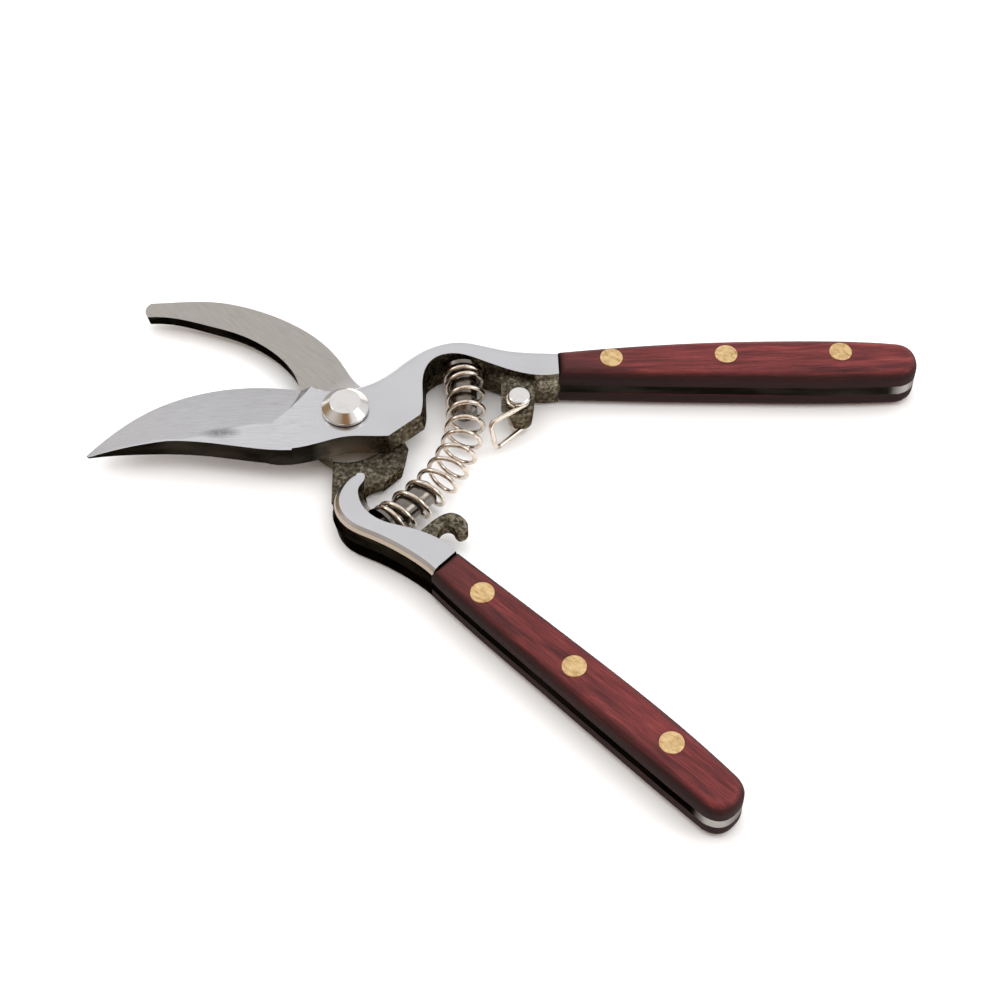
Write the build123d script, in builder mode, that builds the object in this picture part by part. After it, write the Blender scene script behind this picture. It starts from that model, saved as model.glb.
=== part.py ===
from build123d import *
import os
from math import acos, atan2, cos, degrees, hypot, pi, radians, sin

# Pruning shears with a bypass blade, a curved hook jaw, riveted wooden handles,
# a coil spring carried on two studs and a wire latch loop.
#
# Frame: the origin is on the pivot axis at the level the shears rest on, +Z up.
# The blade half's handle runs along +X and its blade towards -X.  The hook half
# is drawn in the same way, with its handle along +X, and then turned by
# OPEN_ANGLE about the pivot, which is how the shears stand when fully open.

# ---------------------------------------------------------------- dimensions
OPEN_ANGLE = 45.4            # angle between the two handles, fully open
CLOSE_ANGLE = 45.0           # turn of the hook half from open to closed

LIMB_BOTTOM = 1.0            # steel limbs, underside
LIMB_TOP = 12.6              # steel limbs, ground upper face
JOINT_PLANE = 6.8            # the two halves slide on each other here
FACE_GAP = 0.03              # running clearance of each half from that plane
PLATE_BOTTOM = 1.6           # underside of the hook half's pivot plate and jaw
DRAFT = 0.8                  # how far the forged walls swell at mid height
SHOULDER_R = 2.0             # ground round on the limbs' outer upper edges
SHOULDER_STEPS = (90, 60, 30, 0)   # tangent angles of the facets that make up the round
PARTING_STEP = 0.1           # the lower half of the blade half's limb is this much smaller
TANG_BOTTOM = 5.3            # handle tangs
TANG_TOP = 8.3
WOOD_TOP = 13.4              # wooden scales, outer faces at 0 and here
WOOD_ROUND = 3.0             # rounded long edges of the scales

BOLT_SHANK_R = 3.5
BOLT_CLEARANCE = 0.05        # running clearance in the hook half
BOLT_HEAD_R = 6.1
BOLT_RIM = 0.9
BOLT_HEAD_HEIGHT = 2.9
BOLT_FLAT_R = 3.9
WASHER_R = 5.8
WASHER_THICKNESS = 0.35
NUT_R = 5.5
NUT_HEIGHT = 3.0
BOSS_R = 12.8                # raised bearing face round the pivot
BOSS_STEP = 0.3              # how far the plate outside it is relieved

RIVET_R = 3.0
RIVET_DOME = 0.2
BLADE_RIVETS = [(69.2, 14.4), (99.2, 14.6), (129.2, 14.4)]
HOOK_RIVETS = [(65.1, -17.2), (95.1, -17.4), (125.1, -17.3)]
BLADE_BOLSTER_X = 55.3       # steel ends and wood begins
HOOK_BOLSTER_X = 51.6

SPRING_X = 30.4              # spring axis from the pivot, along the handles
SPRING_R = 4.7               # mean radius of the coil
WIRE_R = 0.58
SPRING_TURNS = 12.5
END_TURN_PITCH = 1.35        # first and last turn lie close
SPRING_FROM_Y = 14.5         # wire centre at the blade half's seat, closed
SPRING_TO_Y = -15.0          # wire centre at the hook half's seat, closed
SPRING_EVENING = 0.5         # how much less the turns on the studs move
POINTS_PER_TURN = 10
STUD_R = 3.5
STUD_FLANGE_R = 5.4
STUD_FLANGE = 2.3            # height of the face that carries the spring
STUD_RIM = 1.0               # thickness of the flange, which stands on a neck
STUD_NECK_R = 2.8
STUD_SPIGOT_R = 2.0
STUD_SPIGOT = 3.0
BLADE_SEAT_Y = 17.5
BLADE_STUD_TIP_Y = 1.6
HOOK_SEAT_Y = -18.0
HOOK_STUD_TIP_Y = -0.4

LATCH_PIN = (44.7, 2.8)
LATCH_PIN_R = 1.5
LATCH_HEAD_R = 3.0
LATCH_HEAD = 1.2
LATCH_REACH = 10.9           # pin axis to the far bar of the wire loop
LATCH_ANGLE = 229.8          # direction of the loop from the pin, as it lies
LATCH_TWIST = 5.0            # the far bar leans: its two ends lie this much either side
LATCH_EYE_R = 2.6            # the upper eye is bent wide of the pin
LATCH_CLOSE_EYE_R = 2.25     # and the lower one close to it
LATCH_EYE_GAP = 50.0         # each eye is an open ring
LATCH_WIRE_R = 0.65
LATCH_BEND_R = 1.6
LUG_BOTTOM = 3.0             # lug that carries the latch pin
LUG_TOP = 10.6
CATCH_BOTTOM = 5.2           # catch on the hook half for the loop
CATCH_TOP = 8.4

# ------------------------------------------------------------------ outlines
# Each outline is a ring of runs.  A run of two points is a straight edge and a
# longer one is a smooth curve; the next run starts where the last one ends.
BLADE_TOP_FACE = [
    [(55.3, 17.9), (50, 18.3), (42.5, 19.3), (35, 21.6), (30, 22.7), (25, 22.1), (20, 19.9),
     (15, 16), (10, 11.5), (5, 8.6), (0, 7.3), (-9, 7.9)],
    [(-9, 7.9), (-15, 0), (-18.5, -3.5)],
    [(-18.5, -3.5), (-20, -11.5)],
    [(-20, -11.5), (-14, -12.3), (-6, -10.5), (0, -8.9), (8, -9), (11, -9)],
    [(11, -9), (19.2, -2.3)],
    [(19.2, -2.3), (19.8, 5), (20.3, 12), (23, 16.5), (28, 18), (35, 15.6), (45, 11), (55.3, 10.1)],
    [(55.3, 10.1), (55.3, 17.9)],
]
# The same runs at the joint plane where they differ: the blade's shoulder
# leans out to the heel of the cutting edge.
BLADE_HEEL = (-12.1, 11.2)
BLADE_SHOULDER_FOOT = [BLADE_HEEL, (-17.8, 1.5), (-20.8, -4)]

LIMB_ROOT_R = 22.6           # the blade half's lower limb clears the hook plate

# The blade from heel to tip at the joint plane.  Upright sections join its spine
# to its cutting edge; the ridge where the bevel starts lies a share of the way
# across, further back towards the tip.
BLADE_SPINE = [(-13.5, -12.8), (-20, -12.4), (-31, -10.4), (-41, -9), (-51, -8.6), (-58, -8.7), (-65.8, -9.4)]
BLADE_EDGE = [(-12.1, 11.2), (-20.7, 12.3), (-30.8, 12.2), (-40.9, 10.1), (-51.1, 5.5), (-58.5, -0.2),
              (-66.4, -8.7)]
BLADE_STEPS = 18
RIDGE_AT_HEEL = 0.34
RIDGE_AT_TIP = 0.04
BEVEL_SLOPE = 0.352
EDGE_LAND = 0.2

HOOK_JAW = [
    [(17.6, 5), (9, 8.6), (0, 11.4), (-7.3, 11), (-15.5, 13.1), (-26, 14.6), (-36.7, 13.3),
     (-47.3, 9.7), (-56.1, 4.6), (-62.6, -1.5), (-68.2, -7.6)],
    [(-68.2, -7.6), (-67.9, -9.6), (-65.2, -11.5)],
    [(-65.2, -11.5), (-60.2, -7.1), (-52, -2.7), (-42.6, 1.4), (-33.8, 3.2), (-25.5, 2.9),
     (-18.5, 0.3), (-14.5, -3.2), (-9, -8.6), (-2, -11.4), (5.8, -10.6)],
    [(5.8, -10.6), (15.4, -20.4)],
    [(15.4, -20.4), (19, -17), (20.5, -15)],
    [(20.5, -15), (18.7, -10.8), (20.5, -6.4)],
    [(20.5, -6.4), (20.6, 0.4)],
    [(20.6, 0.4), (17.6, 5)],
]
HOOK_LIMB = [
    [(51.6, -12.4), (45, -12.8), (37.8, -15.5), (32.1, -18.3), (27.2, -18.9), (22.9, -17.5),
     (20.3, -14.9), (19.7, -12.6), (18.6, -11.4), (17, -12.3)],
    [(17, -12.3), (16.2, -17), (19.8, -22.8), (26, -24.6), (33, -22.9), (42, -20.9), (51.6, -20.4)],
    [(51.6, -20.4), (51.6, -12.4)],
]
# At the joint plane the limb's inner wall has run out into the spring's pocket.
HOOK_LIMB_POCKET = [(51.6, -11.6), (45, -12), (37.6, -14.6), (31, -16.2), (25.6, -15.4), (21.7, -14.4),
                    (19.1, -13.1), (18, -11.4), (17.2, -10.8), (16.2, -11.7)]
CATCH = [
    [(38.2, -17), (38.8, -10.8), (39.1, -5.6), (40.5, -2.7), (43.2, -1.8), (46, -2.5), (47.3, -4.4)],
    [(47.3, -4.4), (46.6, -6), (44.9, -6)],
    [(44.9, -6), (42.9, -6), (42.1, -7.2), (42.3, -9.2), (44, -11.4)],
    [(44, -11.4), (45.5, -16)],
    [(45.5, -16), (38.2, -17)],
]
LUG = [
    [(39, 18), (40, 11), (39.9, 0.6)],
    [(39.9, 0.6), (40.3, -0.9), (41.6, -1.5)],
    [(41.6, -1.5), (46.6, -1.5)],
    [(46.6, -1.5), (48, -0.8), (48.5, 0.8)],
    [(48.5, 0.8), (49.3, 12)],
    [(49.3, 12), (50, 15)],
    [(50, 15), (39, 18)],
]
# The lug narrows downwards to a nose that is round about the pin.
LUG_FOOT = [
    [(39.6, 18), (41, 10), (41.6, 3.6)],
    [(41.6, 3.6), (42.2, 1.4), (43.4, -0.1)],
    [(43.4, -0.1), (46, -0.4)],
    [(46, -0.4), (47.5, 0.6), (48.1, 2.6)],
    [(48.1, 2.6), (48.7, 12)],
    [(48.7, 12), (49.4, 15)],
    [(49.4, 15), (39.6, 18)],
]
BLADE_HANDLE = [
    [(55.3, 18.1), (64, 18.8), (80, 19.8), (100, 20.3), (120, 20), (135, 19.2), (144, 18.2)],
    [(144, 18.2), (147.8, 16.4), (149.2, 12.6)],
    [(149.2, 12.6), (148.2, 8.6), (144.4, 6.3)],
    [(144.4, 6.3), (132, 6.2), (100, 7.4), (80, 8.4), (64, 9.4), (55.3, 9.9)],
    [(55.3, 9.9), (55.3, 18.1)],
]
HOOK_HANDLE = [
    [(51.6, -11.9), (65, -11.6), (91, -11.2), (115, -11.2), (130, -11.8), (141, -12.7)],
    [(141, -12.7), (144.8, -14.6), (146, -18.2)],
    [(146, -18.2), (145, -22.4), (141, -24.4)],
    [(141, -24.4), (126, -24.1), (101, -23.3), (80, -22.6), (65, -22), (51.6, -21)],
    [(51.6, -21), (51.6, -11.9)],
]


# ------------------------------------------------------------------- helpers
def level(height, turned=0.0):
    """A horizontal plane at a height, turned about the pivot axis."""
    angle = radians(turned)
    return Plane((0, 0, height), x_dir=(cos(angle), sin(angle), 0), z_dir=(0, 0, 1))


def grown(runs, distance):
    """The same ring of runs, counter-clockwise, moved outwards by a distance."""
    ring = [point for run in runs for point in run[:-1]]
    moved = []
    for before, here, after in zip(ring[-1:] + ring[:-1], ring, ring[1:] + ring[:1]):
        first = atan2(here[1] - before[1], here[0] - before[0])
        turn = (atan2(after[1] - here[1], after[0] - here[0]) - first + pi) % (2 * pi) - pi
        middle = first + turn / 2 - pi / 2
        reach = distance / max(cos(turn / 2), 0.6)
        moved.append((here[0] + reach * cos(middle), here[1] + reach * sin(middle)))
    result = []
    start = 0
    for run in runs:
        result.append([moved[(start + i) % len(moved)] for i in range(len(run))])
        start += len(run) - 1
    return result


def draw(runs):
    """The edges of a closed outline, for use inside BuildLine."""
    for run in runs:
        if len(run) == 2:
            Line(*run)
        else:
            Spline(*run)


def outline(runs, height, turned=0.0):
    """A face with this outline at a height."""
    with BuildSketch(level(height, turned)) as face:
        with BuildLine():
            draw(runs)
        make_face()
    return face.sketch


def turned_point(x, y, angle):
    """A point in the plane, turned about the pivot."""
    turn = radians(angle)
    return (x * cos(turn) - y * sin(turn), x * sin(turn) + y * cos(turn))


def part_way(low, high, share):
    """A ring of runs between two like ones."""
    return [[(x + share * (u - x), y + share * (v - y)) for (x, y), (u, v) in zip(*pair)]
            for pair in zip(low, high)]


def drawn_in(runs, outer, inset, bolster_x):
    """The same ring with its outer run moved in, except at the end away from the handle."""
    moved = grown(runs, -inset)[outer]
    for end in (0, -1):
        if runs[outer][end][0] == bolster_x:
            moved[end] = (bolster_x, moved[end][1])
        else:
            moved[end] = runs[outer][end]
    result = [list(run) for run in runs]
    result[outer] = moved
    result[outer - 1][-1] = moved[0]
    result[(outer + 1) % len(runs)][0] = moved[-1]
    return result


def shouldered(foot, top, foot_height, outer, bolster_x, turned=0.0):
    """Faces up a limb, from its foot to its upper face, ground round on the outer side."""
    faces = [outline(foot, foot_height, turned)]
    for angle in SHOULDER_STEPS:
        height = LIMB_TOP - SHOULDER_R * (1 - cos(radians(angle)))
        inset = SHOULDER_R * (1 - sin(radians(angle)))
        ring = part_way(foot, top, (height - foot_height) / (LIMB_TOP - foot_height))
        faces.append(outline(drawn_in(ring, outer, inset, bolster_x), height, turned))
    return faces


# ---------------------------------------------------------------- blade half
def blade_section(spine, edge, travelled):
    """Upright section of the blade: flat at the spine, bevelled to the edge."""
    across = edge - spine
    width = across.length
    back = min(max((travelled - 0.12) / 0.45, 0), 1)
    ridge_share = RIDGE_AT_HEEL + (RIDGE_AT_TIP - RIDGE_AT_HEEL) * back * back * (3 - 2 * back)
    floor = JOINT_PLANE + FACE_GAP
    height = min(LIMB_TOP - floor, EDGE_LAND + width * (1 - ridge_share) * BEVEL_SLOPE)
    upright = Plane((spine.X, spine.Y, floor), x_dir=across, z_dir=(across.Y, -across.X, 0))
    with BuildSketch(upright) as section:
        with BuildLine():
            Polyline((0, 0), (width, 0), (width, EDGE_LAND), (width * ridge_share, height),
                     (0, height), close=True)
        make_face()
    return section.sketch


with BuildPart() as blade_half:
    # upper half of the forging: pivot plate and limb, swelling to mid height
    foot = grown(BLADE_TOP_FACE, DRAFT)
    foot[0][-1] = BLADE_HEEL
    foot[1] = BLADE_SHOULDER_FOOT
    foot[2][0] = BLADE_SHOULDER_FOOT[-1]
    foot[5][-1] = (BLADE_BOLSTER_X, foot[5][-1][1])
    foot[6] = [foot[5][-1], (BLADE_BOLSTER_X, foot[0][0][1])]
    foot[0][0] = foot[6][-1]
    loft(shouldered(foot, BLADE_TOP_FACE, JOINT_PLANE + FACE_GAP, 0, BLADE_BOLSTER_X), ruled=True)
    # lower half of the limb, which starts outside the hook half's plate
    near_root = [(LIMB_ROOT_R * cos(radians(a)), LIMB_ROOT_R * sin(radians(a))) for a in (47, 38, 29)]
    lower = [
        BLADE_TOP_FACE[0][:6] + [near_root[0]],
        near_root,
        [near_root[-1]] + BLADE_TOP_FACE[5][3:],
        BLADE_TOP_FACE[6],
    ]
    lower_foot = grown(lower, DRAFT - PARTING_STEP)
    lower_foot[1] = near_root
    lower_foot[0][-1] = near_root[0]
    lower_foot[2][0] = near_root[-1]
    lower_foot[0][0] = (BLADE_BOLSTER_X, lower_foot[0][0][1])
    lower_foot[2][-1] = (BLADE_BOLSTER_X, lower_foot[2][-1][1])
    lower_foot[3] = [lower_foot[2][-1], lower_foot[0][0]]
    loft([outline(lower, LIMB_BOTTOM), outline(lower_foot, JOINT_PLANE + FACE_GAP)], ruled=True)
    # the blade itself
    with BuildLine(mode=Mode.PRIVATE):
        spine_line = Spline(*BLADE_SPINE)
        edge_line = Spline(*BLADE_EDGE)
    loft([blade_section(spine_line @ (i / BLADE_STEPS), edge_line @ (i / BLADE_STEPS), i / BLADE_STEPS)
          for i in range(BLADE_STEPS + 1)], ruled=True)
    # lug for the latch pin
    loft([outline(LUG_FOOT, LUG_BOTTOM), outline(LUG, LUG_TOP)], ruled=True)
    # tang
    extrude(outline(BLADE_HANDLE, TANG_BOTTOM), amount=TANG_TOP - TANG_BOTTOM)
    with Locations([(x, y, TANG_TOP) for x, y in BLADE_RIVETS]):
        Cylinder(RIVET_R, 2 * (TANG_TOP - TANG_BOTTOM), mode=Mode.SUBTRACT)
    # holes for the bolt and the latch pin
    with Locations((0, 0, LIMB_TOP)):
        Cylinder(BOLT_SHANK_R, 4 * (LIMB_TOP - JOINT_PLANE), mode=Mode.SUBTRACT)
    with Locations((*LATCH_PIN, LUG_TOP)):
        Cylinder(LATCH_PIN_R, 4 * (LUG_TOP - LUG_BOTTOM), mode=Mode.SUBTRACT)
    # flat seat and hole for the spring stud
    seat = Plane((SPRING_X, BLADE_SEAT_Y, JOINT_PLANE), x_dir=(1, 0, 0), z_dir=(0, -1, 0))
    with BuildSketch(seat):
        Circle(STUD_FLANGE_R + 0.1)
    extrude(amount=8, mode=Mode.SUBTRACT)
    with BuildSketch(seat):
        Circle(STUD_SPIGOT_R)
    extrude(amount=-STUD_SPIGOT, mode=Mode.SUBTRACT)


# ----------------------------------------------------------------- hook half
def hook_level(height):
    """A horizontal plane in the hook half's own turned frame."""
    return level(height, -OPEN_ANGLE)


def hook_limb_forging():
    """The limb, full thickness, in two drafted halves that meet at mid height."""
    middle = grown(HOOK_LIMB, DRAFT)
    middle[0] = HOOK_LIMB_POCKET
    middle[1][0] = HOOK_LIMB_POCKET[-1]
    middle[1][-1] = (HOOK_BOLSTER_X, middle[1][-1][1])
    middle[2] = [middle[1][-1], middle[0][0]]
    with BuildPart() as forging:
        loft(shouldered(middle, HOOK_LIMB, JOINT_PLANE, 1, HOOK_BOLSTER_X, -OPEN_ANGLE), ruled=True)
        loft([outline(HOOK_LIMB, LIMB_BOTTOM, -OPEN_ANGLE),
              outline(middle, JOINT_PLANE, -OPEN_ANGLE)], ruled=True)
    return forging.part


with BuildPart() as hook_half:
    # lower half of the forging: jaw and pivot plate, swelling up to the joint plane
    jaw_foot = grown(HOOK_JAW, -DRAFT)
    loft([outline(jaw_foot, PLATE_BOTTOM, -OPEN_ANGLE),
          outline(HOOK_JAW, JOINT_PLANE - FACE_GAP, -OPEN_ANGLE)], ruled=True)
    # the jaw thins towards its tip
    with BuildSketch(Plane(hook_level(0).from_local_coords((0, 0, 0)), x_dir=hook_level(0).x_dir,
                           z_dir=-hook_level(0).y_dir)):
        with BuildLine():
            Polyline((-12, PLATE_BOTTOM - 1), (-12, PLATE_BOTTOM), (-70, PLATE_BOTTOM + 2),
                     (-70, PLATE_BOTTOM - 1), close=True)
        make_face()
    extrude(amount=30, both=True, mode=Mode.SUBTRACT)
    # plate outside the bearing face round the pivot is a little lower
    with BuildSketch(hook_level(JOINT_PLANE)):
        with Locations((16, -9)):
            Rectangle(22, 28)
        Circle(BOSS_R, mode=Mode.SUBTRACT)
    extrude(amount=-BOSS_STEP - FACE_GAP, mode=Mode.SUBTRACT)
    add(hook_limb_forging())
    # tang and catch
    extrude(outline(HOOK_HANDLE, TANG_BOTTOM, -OPEN_ANGLE), amount=TANG_TOP - TANG_BOTTOM)
    extrude(outline(CATCH, CATCH_BOTTOM, -OPEN_ANGLE), amount=CATCH_TOP - CATCH_BOTTOM)
    # rivet holes, pivot bore, counterbore for the nut
    with BuildSketch(hook_level(TANG_BOTTOM)):
        with Locations(*HOOK_RIVETS):
            Circle(RIVET_R)
    extrude(amount=TANG_TOP - TANG_BOTTOM, mode=Mode.SUBTRACT)
    with BuildSketch(hook_level(0)):
        Circle(BOLT_SHANK_R + BOLT_CLEARANCE)
    extrude(amount=JOINT_PLANE, mode=Mode.SUBTRACT)
    with BuildSketch(hook_level(0)):
        Circle(NUT_R + 2 * BOLT_CLEARANCE)
    extrude(amount=NUT_HEIGHT + FACE_GAP, mode=Mode.SUBTRACT)
    # flat seat and hole for the spring stud
    hook_seat = Plane(hook_level(JOINT_PLANE).from_local_coords((SPRING_X, HOOK_SEAT_Y, 0)),
                      x_dir=hook_level(0).x_dir, z_dir=hook_level(0).y_dir)
    with BuildSketch(hook_seat):
        Circle(STUD_FLANGE_R + 0.1)
    extrude(amount=5, mode=Mode.SUBTRACT)
    with BuildSketch(hook_seat):
        Circle(STUD_SPIGOT_R)
    extrude(amount=-STUD_SPIGOT, mode=Mode.SUBTRACT)


# --------------------------------------------------------------- pivot pieces
with BuildPart() as pivot_bolt:
    head_from = LIMB_TOP + WASHER_THICKNESS
    with BuildSketch(Plane.XZ):
        with BuildLine():
            Polyline((0, NUT_HEIGHT / 2), (BOLT_SHANK_R, NUT_HEIGHT / 2), (BOLT_SHANK_R, head_from),
                     (BOLT_HEAD_R, head_from), (BOLT_HEAD_R, head_from + BOLT_RIM),
                     (BOLT_FLAT_R, head_from + BOLT_HEAD_HEIGHT), (0, head_from + BOLT_HEAD_HEIGHT),
                     close=True)
        make_face()
    revolve(axis=Axis.Z)
    rim = pivot_bolt.edges().filter_by(GeomType.CIRCLE).sort_by(Axis.Z)[-3:]
    fillet(rim, radius=0.3)

with BuildPart() as pivot_washer:
    with BuildSketch(level(LIMB_TOP)):
        Circle(WASHER_R)
        Circle(BOLT_SHANK_R, mode=Mode.SUBTRACT)
    extrude(amount=WASHER_THICKNESS)

with BuildPart() as pivot_nut:
    with BuildSketch(level(0)):
        Circle(NUT_R)
    extrude(amount=NUT_HEIGHT)
    chamfer(pivot_nut.edges().group_by(Axis.Z)[0], length=0.4)
    with BuildSketch(level(NUT_HEIGHT / 2)):
        Circle(BOLT_SHANK_R)
    extrude(amount=NUT_HEIGHT, mode=Mode.SUBTRACT)
    # two pin-spanner holes
    with BuildSketch(level(0)):
        with PolarLocations(4.3, 2):
            Circle(0.5)
    extrude(amount=1.2, mode=Mode.SUBTRACT)


# --------------------------------------------------------------------- spring
def spring_stud(seat_plane, length):
    """A flanged stud standing on its seat, with a spigot into the limb."""
    with BuildPart() as stud:
        with BuildSketch(Plane.XZ):
            with BuildLine():
                Polyline((0, -STUD_SPIGOT), (STUD_SPIGOT_R, -STUD_SPIGOT), (STUD_SPIGOT_R, 0),
                         (STUD_NECK_R, 0), (STUD_NECK_R, STUD_FLANGE - STUD_RIM),
                         (STUD_FLANGE_R, STUD_FLANGE - STUD_RIM), (STUD_FLANGE_R - 0.2, STUD_FLANGE),
                         (STUD_R, STUD_FLANGE), (STUD_R, length - 0.9), (STUD_R - 0.9, length),
                         (0, length), close=True)
            make_face()
        revolve(axis=Axis.Z)
    return stud.part.moved(seat_plane.location)


with BuildPart() as blade_spring_stud:
    add(spring_stud(seat, BLADE_SEAT_Y - BLADE_STUD_TIP_Y))

with BuildPart() as hook_spring_stud:
    add(spring_stud(hook_seat, HOOK_STUD_TIP_Y - HOOK_SEAT_Y))


def spring_share(turn):
    """How far along the spring a turn lies, from 0 to 1, with close end turns."""
    open_length = SPRING_FROM_Y - SPRING_TO_Y + radians(CLOSE_ANGLE) * SPRING_X
    end = END_TURN_PITCH / open_length
    if turn < 1:
        return turn * end
    if turn > SPRING_TURNS - 1:
        return 1 - (SPRING_TURNS - turn) * end
    return end + (turn - 1) * (1 - 2 * end) / (SPRING_TURNS - 2)


def spring_point(turn):
    """Centre of the wire.  Each ring of the closed, straight spring is turned
    about the pivot by its share of the opening, less on the studs."""
    share = spring_share(turn)
    ripple = SPRING_EVENING * sin(2 * pi * share) / (2 * pi)
    follow = share - ripple
    sweep = radians(CLOSE_ANGLE) * SPRING_X
    along = SPRING_FROM_Y - (SPRING_FROM_Y - SPRING_TO_Y) * share - sweep * ripple
    across = SPRING_X + SPRING_R * cos(2 * pi * turn)
    x, y = turned_point(across, along, -CLOSE_ANGLE * follow)
    return (x, y, JOINT_PLANE + SPRING_R * sin(2 * pi * turn))


with BuildPart() as coil_spring:
    with BuildLine() as wire_line:
        Spline(*[spring_point(i / POINTS_PER_TURN) for i in range(int(SPRING_TURNS * POINTS_PER_TURN) + 1)])
    with BuildSketch(Plane(wire_line.line @ 0, z_dir=wire_line.line % 0)):
        Circle(WIRE_R)
    sweep(is_frenet=True)


# ----------------------------------------------------------------------- latch
def latch_side(height, eye_r, twist):
    """Where a leg of the loop leaves its eye, its far corner, the eye's centre and its first angle."""
    heading = radians(LATCH_ANGLE + twist)
    pin = Vector(*LATCH_PIN, height)
    corner = pin + Vector(LATCH_REACH * cos(heading), LATCH_REACH * sin(heading), 0)
    eye = pin + Vector(LATCH_CLOSE_EYE_R - eye_r, 0, 0)
    leg = corner - eye
    leave = atan2(leg.Y, leg.X) + acos(eye_r / hypot(leg.X, leg.Y))
    start = eye + Vector(eye_r * cos(leave), eye_r * sin(leave), 0)
    return start, corner, eye, degrees(leave)


above = LUG_TOP + 0.1 + LATCH_WIRE_R
below = LUG_BOTTOM - 0.1 - LATCH_WIRE_R

with BuildPart() as latch_loop:
    # one bent wire: open eye above the lug, leg, far bar, leg, open eye below
    upper = latch_side(above, LATCH_EYE_R, -LATCH_TWIST)
    lower = latch_side(below, LATCH_CLOSE_EYE_R, LATCH_TWIST)
    eye_turn = 360 - LATCH_EYE_GAP
    with BuildLine() as loop_line:
        CenterArc(upper[2], LATCH_EYE_R, upper[3] + eye_turn, -eye_turn)
        FilletPolyline(upper[0], upper[1], lower[1], lower[0], radius=LATCH_BEND_R)
        CenterArc(lower[2], LATCH_CLOSE_EYE_R, lower[3], eye_turn)
    with BuildSketch(Plane(loop_line.line @ 0, z_dir=loop_line.line % 0)):
        Circle(LATCH_WIRE_R)
    sweep()

with BuildPart() as latch_pin:
    head_bottom = above + LATCH_WIRE_R + 0.1
    foot_top = below - LATCH_WIRE_R - 0.1
    foot_r = LATCH_HEAD_R - 0.4
    with BuildSketch(level(foot_top)):
        with Locations(LATCH_PIN):
            Circle(LATCH_PIN_R)
    extrude(amount=head_bottom - foot_top)
    with BuildSketch(level(head_bottom)):
        with Locations(LATCH_PIN):
            Circle(LATCH_HEAD_R)
    extrude(amount=LATCH_HEAD)
    with BuildSketch(level(foot_top)):
        with Locations(LATCH_PIN):
            Circle(foot_r)
    extrude(amount=-LATCH_HEAD)
    fillet(latch_pin.edges().group_by(Axis.Z)[-1], radius=0.75 * LATCH_HEAD)
    fillet(latch_pin.edges().group_by(Axis.Z)[0], radius=0.6 * LATCH_HEAD)


# --------------------------------------------------------------------- handles
def handle_scale(runs, rivets, bottom, top, outer_edges, turned=0.0):
    """One wooden scale: a slab with rounded outer edges and rivet holes."""
    with BuildPart() as scale:
        extrude(outline(runs, bottom, turned), amount=top - bottom)
        rounded = scale.edges().group_by(Axis.Z)[outer_edges]
        fillet(rounded, radius=WOOD_ROUND)
        with BuildSketch(level(bottom, turned)):
            with Locations(*rivets):
                Circle(RIVET_R)
        extrude(amount=top - bottom, mode=Mode.SUBTRACT)
    return scale.part


def rivet(x, y, turned=0.0):
    """A brass rod through both scales and the tang, its upper end peened round."""
    with BuildPart() as rod:
        with BuildSketch(level(0, turned)):
            with Locations((x, y)):
                Circle(RIVET_R)
        extrude(amount=WOOD_TOP + RIVET_DOME)
        fillet(rod.edges().group_by(Axis.Z)[-1], radius=RIVET_DOME)
    return rod.part


with BuildPart() as blade_handle_scale_top:
    add(handle_scale(BLADE_HANDLE, BLADE_RIVETS, TANG_TOP, WOOD_TOP, -1))

with BuildPart() as blade_handle_scale_bottom:
    add(handle_scale(BLADE_HANDLE, BLADE_RIVETS, 0, TANG_BOTTOM, 0))

with BuildPart() as hook_handle_scale_top:
    add(handle_scale(HOOK_HANDLE, HOOK_RIVETS, TANG_TOP, WOOD_TOP, -1, -OPEN_ANGLE))

with BuildPart() as hook_handle_scale_bottom:
    add(handle_scale(HOOK_HANDLE, HOOK_RIVETS, 0, TANG_BOTTOM, 0, -OPEN_ANGLE))


# ---------------------------------------------------------------------- export
pieces = {
    "blade_half": blade_half.part,
    "hook_half": hook_half.part,
    "pivot_bolt": pivot_bolt.part,
    "pivot_washer": pivot_washer.part,
    "pivot_nut": pivot_nut.part,
    "blade_spring_stud": blade_spring_stud.part,
    "hook_spring_stud": hook_spring_stud.part,
    "coil_spring": coil_spring.part,
    "latch_loop": latch_loop.part,
    "latch_pin": latch_pin.part,
    "blade_handle_scale_top": blade_handle_scale_top.part,
    "blade_handle_scale_bottom": blade_handle_scale_bottom.part,
    "hook_handle_scale_top": hook_handle_scale_top.part,
    "hook_handle_scale_bottom": hook_handle_scale_bottom.part,
}
for number, place in enumerate(BLADE_RIVETS, start=1):
    pieces[f"blade_handle_rivet_{number}"] = rivet(*place)
for number, place in enumerate(HOOK_RIVETS, start=1):
    pieces[f"hook_handle_rivet_{number}"] = rivet(*place, -OPEN_ANGLE)

os.makedirs("parts", exist_ok=True)
for name, piece in pieces.items():
    piece.label = name
    export_step(piece, f"parts/{name}.step")
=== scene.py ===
"""Pruning shears on a pale floor: materials, fine shape and studio light around the CAD frame."""
import math

import bmesh
import bpy
from mathutils import Matrix, Vector


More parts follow.
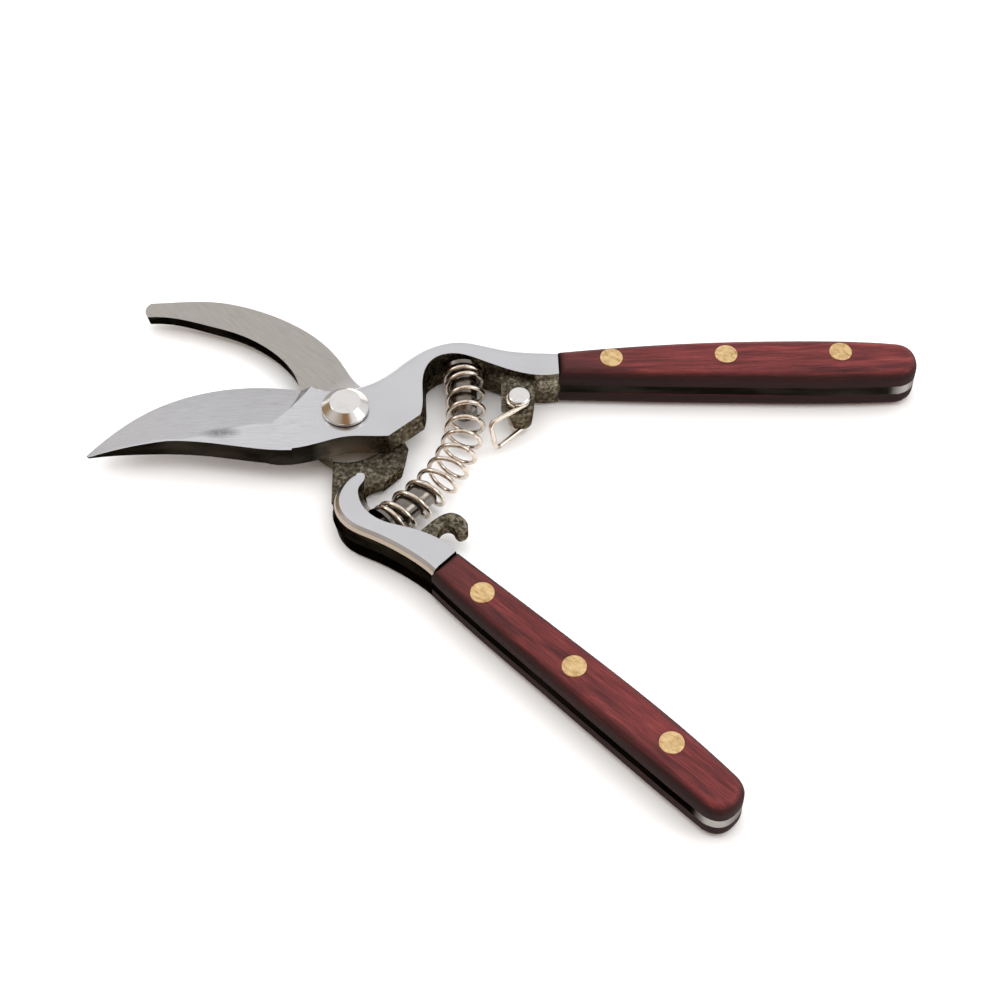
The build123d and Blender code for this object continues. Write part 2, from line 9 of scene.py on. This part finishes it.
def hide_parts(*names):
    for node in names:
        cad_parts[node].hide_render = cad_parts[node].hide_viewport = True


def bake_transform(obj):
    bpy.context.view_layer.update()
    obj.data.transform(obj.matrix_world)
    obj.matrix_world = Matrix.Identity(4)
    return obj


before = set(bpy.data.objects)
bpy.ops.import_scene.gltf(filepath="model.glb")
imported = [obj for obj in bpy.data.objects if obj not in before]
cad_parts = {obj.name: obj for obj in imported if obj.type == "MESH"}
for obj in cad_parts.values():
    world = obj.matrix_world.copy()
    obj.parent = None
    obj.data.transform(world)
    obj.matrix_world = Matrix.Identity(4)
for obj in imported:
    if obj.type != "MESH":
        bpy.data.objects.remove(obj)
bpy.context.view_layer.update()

MM = 0.001
OPEN_ANGLE = math.radians(45.4)      # the hook half lies turned by this much
CLOSE_ANGLE = math.radians(45.0)     # and closes by this much


# ------------------------------------------------------------------ node helpers
class Nodes:
    """A small wrapper for building node trees."""

    def __init__(self, owner):
        owner.use_nodes = True
        self.owner = owner
        self.tree = owner.node_tree
        self.shader = self.tree.nodes.get("Principled BSDF")

    def add(self, kind, **settings):
        node = self.tree.nodes.new(kind)
        for key, value in settings.items():
            setattr(node, key, value)
        return node

    def link(self, source, target):
        self.tree.links.new(source, target)

    def set(self, **values):
        for key, value in values.items():
            self.shader.inputs[key.replace("_", " ")].default_value = value

    def coordinates(self, turn=0.0, scale=(1, 1, 1)):
        """The mesh's own coordinates in millimetres, turned about Z and then stretched."""
        texture = self.add("ShaderNodeTexCoord")
        spin = self.add("ShaderNodeMapping")
        spin.inputs["Rotation"].default_value = (0, 0, turn)
        spin.inputs["Scale"].default_value = (1 / MM, 1 / MM, 1 / MM)
        self.link(texture.outputs["Object"], spin.inputs["Vector"])
        stretch = self.add("ShaderNodeMapping")
        stretch.inputs["Scale"].default_value = scale
        self.link(spin.outputs["Vector"], stretch.inputs["Vector"])
        return stretch.outputs["Vector"]

    def noise(self, vector, scale, detail=3.0, roughness=0.55):
        node = self.add("ShaderNodeTexNoise")
        node.inputs["Scale"].default_value = scale
        node.inputs["Detail"].default_value = detail
        node.inputs["Roughness"].default_value = roughness
        self.link(vector, node.inputs["Vector"])
        return node.outputs["Fac"]

    def ramp(self, value, *stops):
        """A colour ramp; stops are (position, grey or (r, g, b))."""
        node = self.add("ShaderNodeValToRGB")
        elements = node.color_ramp.elements
        while len(elements) < len(stops):
            elements.new(0.5)
        for element, (position, colour) in zip(elements, stops):
            element.position = position
            if not isinstance(colour, tuple):
                colour = (colour, colour, colour)
            element.color = (*colour, 1)
        self.link(value, node.inputs["Fac"])
        return node.outputs["Color"]

    def mix(self, factor, a, b, blend="MIX"):
        node = self.add("ShaderNodeMix", data_type="RGBA", blend_type=blend)
        for value, socket in ((factor, 0), (a, 6), (b, 7)):
            if isinstance(value, (int, float)):
                node.inputs[socket].default_value = value
            elif isinstance(value, tuple):
                node.inputs[socket].default_value = (*value, 1)
            else:
                self.link(value, node.inputs[socket])
        return node.outputs[2]

    def math(self, operation, a, b=0.0, c=0.5):
        node = self.add("ShaderNodeMath", operation=operation)
        for value, socket in ((a, 0), (b, 1), (c, 2)):
            if isinstance(value, (int, float)):
                node.inputs[socket].default_value = value
            else:
                self.link(value, node.inputs[socket])
        return node.outputs[0]

    def split(self, vector):
        node = self.add("ShaderNodeSeparateXYZ")
        self.link(vector, node.inputs[0])
        return node.outputs

    def between(self, value, low, high, soft):
        """1 inside a range of values, fading to 0 outside it."""
        up = self.add("ShaderNodeMapRange", interpolation_type="SMOOTHSTEP")
        up.inputs["From Min"].default_value = low - soft
        up.inputs["From Max"].default_value = low
        down = self.add("ShaderNodeMapRange", interpolation_type="SMOOTHSTEP")
        down.inputs["From Min"].default_value = high
        down.inputs["From Max"].default_value = high + soft
        self.link(value, up.inputs["Value"])
        self.link(value, down.inputs["Value"])
        return self.math("MULTIPLY", up.outputs["Result"],
                         self.math("SUBTRACT", 1.0, down.outputs["Result"]))

    def facing_up(self):
        """The upright part of the surface normal, without its sign."""
        geometry = self.add("ShaderNodeNewGeometry")
        return self.math("ABSOLUTE", self.split(geometry.outputs["Normal"])["Z"])

    def bump(self, height, strength, distance):
        node = self.add("ShaderNodeBump")
        node.inputs["Strength"].default_value = strength
        node.inputs["Distance"].default_value = distance * MM
        self.link(height, node.inputs["Height"])
        self.link(node.outputs["Normal"], self.shader.inputs["Normal"])


# --------------------------------------------------------------------- materials
LAVENDER = (0.59, 0.585, 0.60)
WARM_GREY = (0.41, 0.38, 0.35)
GOLDEN = (0.36, 0.28, 0.20)          # painted golden reflections on the rounded shoulders
# colour of the painted dark reflection on the blade's ridge
RIDGE_REFLECTION_DARK = (0.13, 0.12, 0.12)
BUTT_STEEL = (0.46, 0.44, 0.42)
SUNK_LEVELS = ((5.0, 6.6, 0.05), (8.0, 10.7, 0.15))   # heights of unground flats: low, high, fade
WORN_SPAN = (-4.0, 12.0, 5.0)        # walls worn paler beside the pivot: from, to, fade


def forged_steel(name, turn, jaw_colour, mottled_from, bolster, butt_from):
    """Forged steel: bright where it was ground, dark on its walls, mottled near the spring.

    The last three values say where the mottling, the wood and the tang's butt begin, as shares
    of the ramps that use them."""
    n = Nodes(bpy.data.materials.new(name))
    n.set(Metallic=1.0)
    plain = n.coordinates(turn)
    place = n.split(plain)
    up = n.facing_up()
    grain = n.noise(plain, 1.0, 6, 0.68)

    # ground faces, with faint lines along the limb and soft clouding
    lines = n.noise(n.coordinates(turn, (0.05, 1.6, 1)), 2.2, 4)
    cloud = n.noise(plain, 0.07, 3)
    smear = n.noise(n.coordinates(turn, (0.3, 1.2, 1)), 0.16, 4)
    scuff = n.noise(n.coordinates(turn, (0.35, 1.2, 1)), 0.6, 6, 0.65)
    bright = n.mix(n.ramp(cloud, (0.35, 0.0), (0.7, 0.6)), LAVENDER, tuple(c * 0.88 for c in LAVENDER))
    # the jaws keep a coarser brushed finish, with nicks and stains
    brushed = n.noise(n.coordinates(turn, (0.12, 2.2, 1)), 1.5, 5, 0.7)
    jaw = n.mix(n.math("MULTIPLY", n.ramp(brushed, (0.36, 0.0), (0.66, 1.0)), 0.6), jaw_colour,
                tuple(c * 0.7 for c in jaw_colour))
    jaw = n.mix(n.ramp(scuff, (0.60, 0.0), (0.78, 0.45)), jaw, (0.20, 0.17, 0.15))
    # painted highlight: the jaw's flattest, upward-facing faces are made a tenth lighter
    jaw = n.mix(n.ramp(up, (0.955, 0.0), (0.985, 1.0)), jaw, (1.1, 1.1, 1.1), "MULTIPLY")
    on_jaw = n.ramp(n.math("MULTIPLY_ADD", place["X"], -0.02), (0.58, 0.0), (0.74, 1.0))
    bright = n.mix(on_jaw, bright, jaw)

    # a painted dark reflection on the ridge of the blade, where the grind is hollow
    away_x = n.math("MULTIPLY_ADD", place["X"], 0.17, 5.4)
    away_y = n.math("MULTIPLY_ADD", place["Y"], 0.5, 3.3)
    away = n.math("ADD", n.math("MULTIPLY", away_x, away_x), n.math("MULTIPLY", away_y, away_y))
    painted_ridge_reflection = n.math("MULTIPLY", n.ramp(away, (0.0, 0.8), (0.4, 0.4), (1.0, 0.0)),
                    n.ramp(grain, (0.3, 0.5), (0.6, 1.0)))
    bright = n.mix(painted_ridge_reflection, bright, RIDGE_REFLECTION_DARK)

    # walls: scale left by forging, dark and smooth or mottled brown and green
    patch = n.noise(plain, 0.26, 3)
    mottle = n.ramp(grain, (0.33, (0.020, 0.018, 0.013)), (0.48, (0.095, 0.080, 0.056)),
                    (0.62, (0.30, 0.26, 0.195)), (0.74, (0.56, 0.51, 0.43)))
    mottle = n.mix(n.ramp(patch, (0.46, 0.0), (0.66, 0.6)), mottle, (0.060, 0.050, 0.032))
    dark = n.mix(n.ramp(smear, (0.4, 0.0), (0.7, 0.8)), (0.010, 0.009, 0.007), (0.040, 0.034, 0.028))
    right_of_pivot = n.ramp(n.math("MULTIPLY_ADD", place["X"], 0.01, 0.5), (0.52, 0.0), (0.60, 1.0))
    inside_limb = n.ramp(n.math("MULTIPLY_ADD", place["Y"], 0.01, 0.5),
                         (mottled_from, 0.0), (mottled_from + 0.015, 1.0))
    near_spring = n.math("MULTIPLY", right_of_pivot, inside_limb)
    on_tang = n.ramp(n.math("MULTIPLY", place["X"], 0.01), (bolster - 0.005, 0.0), (bolster + 0.005, 1.0))
    near_spring = n.math("MULTIPLY", near_spring, n.math("SUBTRACT", 1.0, on_tang))
    worn = n.mix(n.ramp(smear, (0.36, 0.0), (0.62, 1.0)), (0.12, 0.10, 0.075), (0.30, 0.27, 0.22))
    dark = n.mix(n.between(place["X"], *WORN_SPAN), dark, worn)
    wall = n.mix(near_spring, dark, mottle)
    # butt of the tang, linished flush with the wood
    butt = n.ramp(n.math("MULTIPLY", place["X"], 0.005), (butt_from, 0.0), (butt_from + 0.02, 1.0))
    wall = n.mix(butt, wall, BUTT_STEEL)

    # where each finish and the painted reflection on the shoulders go, by how far the surface faces up
    # and how high it lies
    ground = n.ramp(up, (0.16, 0.0), (0.34, 1.0))
    # painted reflection: faces tilted between flat and upright get a golden tone, grey on the jaws
    painted_shoulder_reflection = n.ramp(up, (0.30, 1.0), (0.90, 0.0))
    bright = n.mix(painted_shoulder_reflection, bright, n.mix(on_jaw, GOLDEN, (0.27, 0.26, 0.25)))
    sunk = n.math("MAXIMUM", *[n.between(place["Z"], *span) for span in SUNK_LEVELS])
    behind_blade = n.ramp(n.math("MULTIPLY_ADD", n.split(n.coordinates(0))["X"], 0.005, 0.5),
                          (0.44, 0.0), (0.46, 1.0))
    level = n.ramp(up, (0.90, 0.0), (0.97, 1.0))
    sunk = n.math("MULTIPLY", n.math("MULTIPLY", sunk, behind_blade), level)
    ground = n.math("MULTIPLY", ground, n.math("SUBTRACT", 1.0, sunk))
    colour = n.mix(sunk, wall, mottle)
    n.link(n.mix(ground, colour, bright), n.shader.inputs["Base Color"])
    rough = n.mix(ground, n.mix(sunk, (0.36, 0.36, 0.36), (0.5, 0.5, 0.5)),
                  n.math("MULTIPLY_ADD", smear, 0.14, 0.15))
    rough = n.mix(n.math("MULTIPLY", ground, on_jaw), rough, (0.33, 0.33, 0.33))
    n.link(rough, n.shader.inputs["Roughness"])
    # scale stays dark even when it is seen at a low angle
    n.link(n.mix(ground, (0.20, 0.18, 0.16), (1, 1, 1)), n.shader.inputs["Specular Tint"])
    relief = n.mix(ground, n.math("MULTIPLY", grain, n.math("MAXIMUM", near_spring, sunk)),
                   n.math("MULTIPLY", lines, 0.10))
    n.bump(relief, 0.55, 0.14)
    return n.owner


def polished_metal(name, light, dark, roughness, speckle, scale):
    """Bright plated or drawn metal with fine dark handling marks."""
    n = Nodes(bpy.data.materials.new(name))
    n.set(Metallic=1.0)
    plain = n.coordinates()
    marks = n.noise(plain, scale, 5, 0.6)
    colour = n.mix(n.math("MULTIPLY", n.ramp(marks, (0.52, 0.0), (0.72, 1.0)), speckle), light, dark)
    n.link(colour, n.shader.inputs["Base Color"])
    n.link(n.math("ADD", roughness - 0.05, n.math("MULTIPLY", marks, 0.12)), n.shader.inputs["Roughness"])
    n.bump(marks, 0.25, 0.04)
    return n.owner


def brass(name):
    """Sanded brass rod ends, pale gold with brown scratches left by the file."""
    n = Nodes(bpy.data.materials.new(name))
    n.set(Metallic=1.0)
    plain = n.coordinates()
    scratch = n.noise(n.coordinates(0.6, (0.7, 1.3, 1)), 0.9, 6, 0.65)
    stain = n.noise(plain, 0.55, 4)
    colour = n.ramp(scratch, (0.30, (0.36, 0.20, 0.08)), (0.46, (0.70, 0.48, 0.23)),
                    (0.68, (0.86, 0.64, 0.34)))
    colour = n.mix(n.ramp(stain, (0.50, 0.0), (0.74, 0.6)), colour, (0.44, 0.25, 0.10))
    n.link(colour, n.shader.inputs["Base Color"])
    n.link(n.math("ADD", 0.26, n.math("MULTIPLY", scratch, 0.25)), n.shader.inputs["Roughness"])
    n.bump(scratch, 0.4, 0.06)
    return n.owner


def rosewood(name, turn, bolster, seed):
    """Dark red-brown wood with long grain, red streaks on the flats and dark pores, and painted shade on
    its sides.
    """
    n = Nodes(bpy.data.materials.new(name))
    plain = n.coordinates(turn)
    along = n.split(plain)["X"]
    shifted = n.add("ShaderNodeVectorMath", operation="ADD")
    n.link(plain, shifted.inputs[0])
    shifted.inputs[1].default_value = (seed, seed * 0.37, seed * 0.11)

    def stretched(scale):
        node = n.add("ShaderNodeMapping")
        node.inputs["Scale"].default_value = scale
        n.link(shifted.outputs[0], node.inputs["Vector"])
        return node.outputs["Vector"]

    bands = n.noise(stretched((0.045, 0.55, 0.5)), 1.0, 5, 0.6)
    fine = n.noise(stretched((0.12, 2.6, 2.2)), 1.3, 6, 0.65)
    pores = n.noise(stretched((0.3, 4.5, 4.0)), 1.6, 3, 0.5)
    blotch = n.noise(stretched((0.06, 0.16, 0.2)), 1.0, 3)
    colour = n.ramp(bands, (0.30, (0.034, 0.006, 0.006)), (0.44, (0.110, 0.018, 0.019)),
                    (0.56, (0.190, 0.030, 0.030)), (0.72, (0.300, 0.058, 0.050)))
    colour = n.mix(n.ramp(blotch, (0.4, 0.0), (0.66, 0.6)), colour, (0.160, 0.026, 0.027))
    colour = n.mix(n.ramp(fine, (0.36, 0.6), (0.58, 0.0)), colour, (0.040, 0.010, 0.010))
    colour = n.mix(n.ramp(pores, (0.60, 0.0), (0.72, 0.8)), colour, (0.014, 0.005, 0.004))
    # darker towards the bolster, and painted shade on the sides, near-black where they stand upright
    near = n.add("ShaderNodeMapRange", interpolation_type="SMOOTHSTEP")
    near.inputs["From Min"].default_value = bolster
    near.inputs["From Max"].default_value = bolster + 34
    near.inputs["To Min"].default_value = 0.55
    near.inputs["To Max"].default_value = 0.0
    n.link(along, near.inputs["Value"])
    colour = n.mix(near.outputs["Result"], colour, (0.040, 0.013, 0.013))
    # painted shade: the less a face turns up, the darker it is painted
    side = n.ramp(n.facing_up(), (0.15, 0.93), (0.6, 0.8), (0.93, 0.0))
    colour = n.mix(side, colour, (0.010, 0.0035, 0.003))
    n.link(colour, n.shader.inputs["Base Color"])
    n.link(n.mix(side, n.math("ADD", 0.34, n.math("MULTIPLY", fine, 0.3)), (0.8, 0.8, 0.8)),
           n.shader.inputs["Roughness"])
    n.set(Specular_IOR_Level=0.2)
    n.bump(n.math("ADD", fine, n.math("MULTIPLY", pores, 0.6)), 0.35, 0.12)
    return n.owner


STEEL = {
    "blade_half": forged_steel("steel_blade_half", 0.0, LAVENDER, 0.30, 0.553, 0.71),
    "hook_half": forged_steel("steel_hook_half", OPEN_ANGLE, WARM_GREY, 0.295, 0.516, 0.69),
}
NICKEL = polished_metal("nickel", (0.72, 0.70, 0.68), (0.55, 0.49, 0.43), 0.14, 0.35, 0.3)
WIRE = polished_metal("spring_wire", (0.72, 0.63, 0.54), (0.20, 0.14, 0.10), 0.16, 0.85, 0.9)
STUD = polished_metal("stud_steel", (0.19, 0.17, 0.15), (0.03, 0.025, 0.02), 0.18, 0.9, 0.45)
# the washer is painted near-black to stand for the contact shadow under the bolt head
WASHER_PAINTED_SHADE = polished_metal("washer_painted_shade_steel", (0.10, 0.085, 0.06), (0.03, 0.025, 0.02), 0.35, 0.8, 0.5)
BRASS = brass("brass")

MATERIALS = {
    "blade_half": STEEL["blade_half"],
    "hook_half": STEEL["hook_half"],
    "pivot_bolt": NICKEL,
    "pivot_washer": WASHER_PAINTED_SHADE,
    "pivot_nut": NICKEL,
    "blade_spring_stud": STUD,
    "hook_spring_stud": STUD,
    "coil_spring": WIRE,
    "latch_loop": WIRE,
    "latch_pin": NICKEL,
    "blade_handle_scale_top": rosewood("rosewood_1", 0.0, 55.0, 3.0),
    "blade_handle_scale_bottom": rosewood("rosewood_2", 0.0, 55.0, 41.0),
    "hook_handle_scale_top": rosewood("rosewood_3", OPEN_ANGLE, 51.0, 87.0),
    "hook_handle_scale_bottom": rosewood("rosewood_4", OPEN_ANGLE, 51.0, 130.0),
}
for name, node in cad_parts.items():
    node.data.materials.clear()
    node.data.materials.append(MATERIALS.get(name, BRASS))

# ------------------------------------------------------------------------ spring
SPRING_X = 30.4
COIL_R = 4.7
COIL_WIRE_R = 0.6
TURNS = 12.5
END_PITCH = 1.35                     # first and last turn lie close
FROM_Y, TO_Y = 14.5, -15.0           # wire centres at the two seats when closed
EVENING = 0.5                        # how much less the turns on the studs move
MID_Z = 6.8
WIRE_STEPS = 56                      # rings of vertices in each turn
WIRE_SIDES = 16


def spring_share(turn):
    """How far along the spring a turn lies, from 0 to 1."""
    end = END_PITCH / (FROM_Y - TO_Y + CLOSE_ANGLE * SPRING_X)
    if turn < 1:
        return turn * end
    if turn > TURNS - 1:
        return 1 - (TURNS - turn) * end
    return end + (turn - 1) * (1 - 2 * end) / (TURNS - 2)


def spring_point(turn):
    """Centre of the wire: a straight spring whose rings are turned about the pivot."""
    share = spring_share(turn)
    ripple = EVENING * math.sin(2 * math.pi * share) / (2 * math.pi)
    along = FROM_Y - (FROM_Y - TO_Y) * share - CLOSE_ANGLE * SPRING_X * ripple
    angle = 2 * math.pi * turn
    straight = Vector((SPRING_X + COIL_R * math.cos(angle), along, COIL_R * math.sin(angle)))
    straight.rotate(Matrix.Rotation(-CLOSE_ANGLE * (share - ripple), 3, "Z"))
    return (straight + Vector((0, 0, MID_Z))) * MM


def wire_mesh(name, points, radius):
    """A round wire along points, with slightly rounded, closed ends."""
    mesh = bmesh.new()
    last = len(points) - 1
    rings = []
    normal = Vector((0, 0, 1))
    stations = [(0, 0.0)] + [(i, 1.0) for i in range(last + 1)] + [(last, 0.0)]
    for index, scale in stations:
        tangent = (points[min(index + 1, last)] - points[max(index - 1, 0)]).normalized()
        normal = (normal - tangent * normal.dot(tangent)).normalized()
        side = tangent.cross(normal)
        ring = []
        for k in range(WIRE_SIDES):
            turn = 2 * math.pi * k / WIRE_SIDES
            reach = radius * (scale if scale else 0.82)
            push = tangent * radius * (0 if scale else 0.18) * (-1 if index == 0 else 1)
            ring.append(mesh.verts.new(points[index] + push + (normal * math.cos(turn)
                                                                + side * math.sin(turn)) * reach))
        rings.append(ring)
    for one, two in zip(rings, rings[1:]):
        for k in range(WIRE_SIDES):
            j = (k + 1) % WIRE_SIDES
            mesh.faces.new((one[k], one[j], two[j], two[k]))
    mesh.faces.new(reversed(rings[0]))
    mesh.faces.new(rings[-1])
    bmesh.ops.recalc_face_normals(mesh, faces=mesh.faces)
    data = bpy.data.meshes.new(name)
    mesh.to_mesh(data)
    mesh.free()
    for face in data.polygons:
        face.use_smooth = len(face.vertices) == 4
    piece = bpy.data.objects.new(name, data)
    bpy.context.scene.collection.objects.link(piece)
    return piece


steps = int(TURNS * WIRE_STEPS)
spring = wire_mesh("spring_wire", [spring_point(i / WIRE_STEPS) for i in range(steps + 1)],
                   COIL_WIRE_R * MM)
spring.data.materials.append(WIRE)
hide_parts("coil_spring")
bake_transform(spring)

# ---------------------------------------------------------------- softened edges
EDGE_WIDTH = {"blade_half": 0.28, "hook_half": 0.32, "pivot_bolt": 0.12, "pivot_washer": 0.06,
              "blade_spring_stud": 0.15, "hook_spring_stud": 0.15}


def soften(node, width):
    """Merge the flat triangles of a forging and break its sharp edges."""
    planar = node.modifiers.new("merge", "DECIMATE")
    planar.decimate_type = "DISSOLVE"
    planar.angle_limit = math.radians(1.0)
    bevel = node.modifiers.new("edges", "BEVEL")
    bevel.width = width * MM
    bevel.segments = 2
    bevel.limit_method = "ANGLE"
    bevel.angle_limit = math.radians(35)
    shade = node.modifiers.new("shading", "WEIGHTED_NORMAL")
    shade.keep_sharp = True


for name, width in EDGE_WIDTH.items():
    soften(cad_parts[name], width)

# ------------------------------------------------------------- floor, light, camera
FLOOR_SIZE = 24.0
LIGHT_AIM = (0.04, -0.03, 0.0)       # middle of the shears
bpy.ops.mesh.primitive_plane_add(size=FLOOR_SIZE, location=(0, 0, 0))
floor = bpy.context.object
floor.name = "floor"
paper = Nodes(bpy.data.materials.new("floor_paper"))
paper.set(Base_Color=(0.93, 0.93, 0.93, 1), Roughness=0.9)
paper.shader.inputs["Specular IOR Level"].default_value = 0.1
floor.data.materials.append(paper.owner)

world = bpy.data.worlds.new("studio")
bpy.context.scene.world = world
sky = Nodes(world)
background = sky.tree.nodes["Background"]
direction = sky.split(sky.add("ShaderNodeTexCoord").outputs["Generated"])
overhead = sky.ramp(direction["Z"], (0.0, (0.50, 0.46, 0.42)), (0.12, (0.88, 0.87, 0.86)),
                    (0.5, (1.0, 1.0, 1.02)), (1.0, (1.05, 1.05, 1.05)))
# the near side of the room is darker and brown, which warms what faces the viewer
nearer = sky.math("MULTIPLY", direction["Y"], -1.0)
near = sky.ramp(nearer, (0.18, 0.0), (0.62, 1.0))
middle = sky.ramp(sky.math("ABSOLUTE", direction["X"]), (0.18, 1.0), (0.42, 0.0))
aside = sky.mix(sky.ramp(sky.math("MULTIPLY_ADD", direction["X"], 0.5, 0.5), (0.3, 0.0), (0.7, 1.0)),
                (0.50, 0.44, 0.37), (1.0, 0.99, 0.98))
dim = sky.mix(middle, aside, (0.34, 0.19, 0.09))
room = sky.mix(near, overhead, dim)
# and so is its left side near the floor
leftward = sky.ramp(sky.math("MULTIPLY", direction["X"], -1.0), (0.45, 0.0), (0.75, 1.0))
low = sky.ramp(direction["Z"], (0.30, 1.0), (0.62, 0.0))
room = sky.mix(sky.math("MULTIPLY", leftward, low), room, (0.36, 0.25, 0.14))
sky.link(room, background.inputs["Color"])
background.inputs["Strength"].default_value = 1.0


def softbox(name, place, size, power, mirrored=True):
    """A square area light aimed at the middle of the shears."""
    light = bpy.data.lights.new(name, "AREA")
    light.size = size
    light.energy = power
    lamp = bpy.data.objects.new(name, light)
    bpy.context.scene.collection.objects.link(lamp)
    lamp.location = place
    aim = Vector(LIGHT_AIM) - lamp.location
    lamp.rotation_euler = aim.to_track_quat("-Z", "Y").to_euler()
    lamp.visible_glossy = mirrored


softbox("overhead", (0.1, 0.1, 1.3), 1.6, 13.0, mirrored=False)
softbox("window", (0.95, -0.25, 0.75), 0.5, 2.2)
softbox("lamp", (-0.9, 0.2, 0.8), 0.4, 1.6)

camera_place = Vector((0.02823, -0.34355, 0.4346))
forward = Vector((0.0198, 0.5959, -0.8028)).normalized()
right = Vector((0.99945, -0.03316, 0.0)).normalized()
upward = right.cross(forward)
lens = bpy.data.cameras.new("camera")
lens.sensor_width = 36.0
lens.lens = 76.2
lens.clip_start = 0.01
camera = bpy.data.objects.new("camera", lens)
bpy.context.scene.collection.objects.link(camera)
camera.matrix_world = Matrix((
    (right.x, upward.x, -forward.x, camera_place.x),
    (right.y, upward.y, -forward.y, camera_place.y),
    (right.z, upward.z, -forward.z, camera_place.z),
    (0, 0, 0, 1)))
bpy.context.scene.camera = camera
bpy.context.scene.view_settings.view_transform = "Standard"
